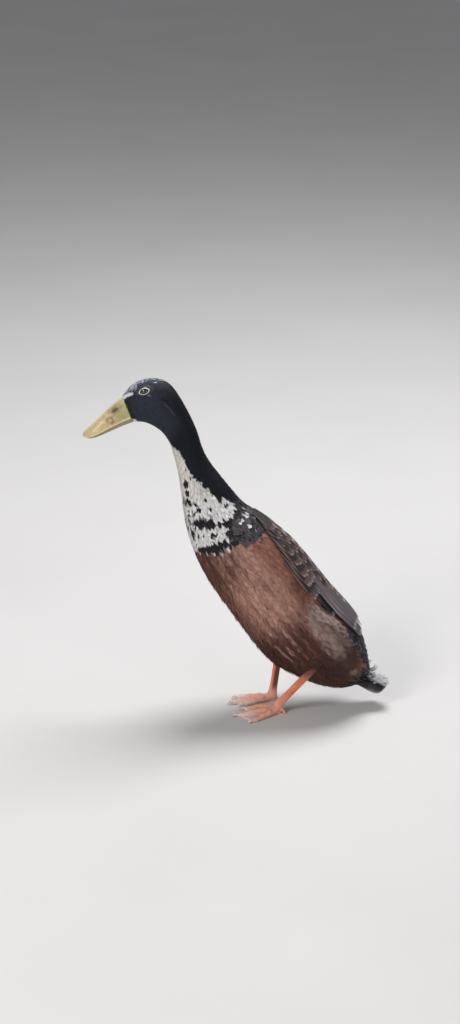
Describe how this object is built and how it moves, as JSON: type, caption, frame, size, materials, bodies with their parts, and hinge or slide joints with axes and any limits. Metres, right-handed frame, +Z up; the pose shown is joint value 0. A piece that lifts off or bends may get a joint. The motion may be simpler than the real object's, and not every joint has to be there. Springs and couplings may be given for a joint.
{
  "type": "indian runner duck",
  "caption": "Life-size standing runner duck with a long upright neck, folded wings, curled tail feathers and webbed feet.",
  "frame": {"origin": "on the floor, under the middle of the bird's bounding box in X and Y", "axes": "+Z up; the bird faces -X, with its left side at -Y and its right side at +Y"},
  "size_m": [0.3978, 0.1214, 0.4535],
  "materials": {
    "dark feather": "glossy black-green feathers of the head and upper neck",
    "mottled feather": "white bib feathers mottled with black",
    "chestnut feather": "soft rufous chestnut body feathers",
    "wing feather": "grey-brown scalloped wing feathers",
    "tail feather": "grey and whitish tail feathers",
    "bill": "olive-yellow horny bill, satin",
    "leg": "orange scaled skin, satin",
    "eye": "dark glossy glass eye"
  },
  "bodies": {
    "root": {"head": "dark feather", "neck_upper": "dark feather", "neck_lower": "mottled feather", "torso": "chestnut feather", "wing_left": "wing feather", "wing_right": "wing feather", "tail": "tail feather", "thigh_left": "chestnut feather", "thigh_right": "chestnut feather", "leg_left": "leg", "leg_right": "leg", "foot_left": "leg", "foot_right": "leg", "bill_upper": "bill", "bill_lower": "bill", "eye_left": "eye", "eye_right": "eye"}
  },
  "joints": []
}
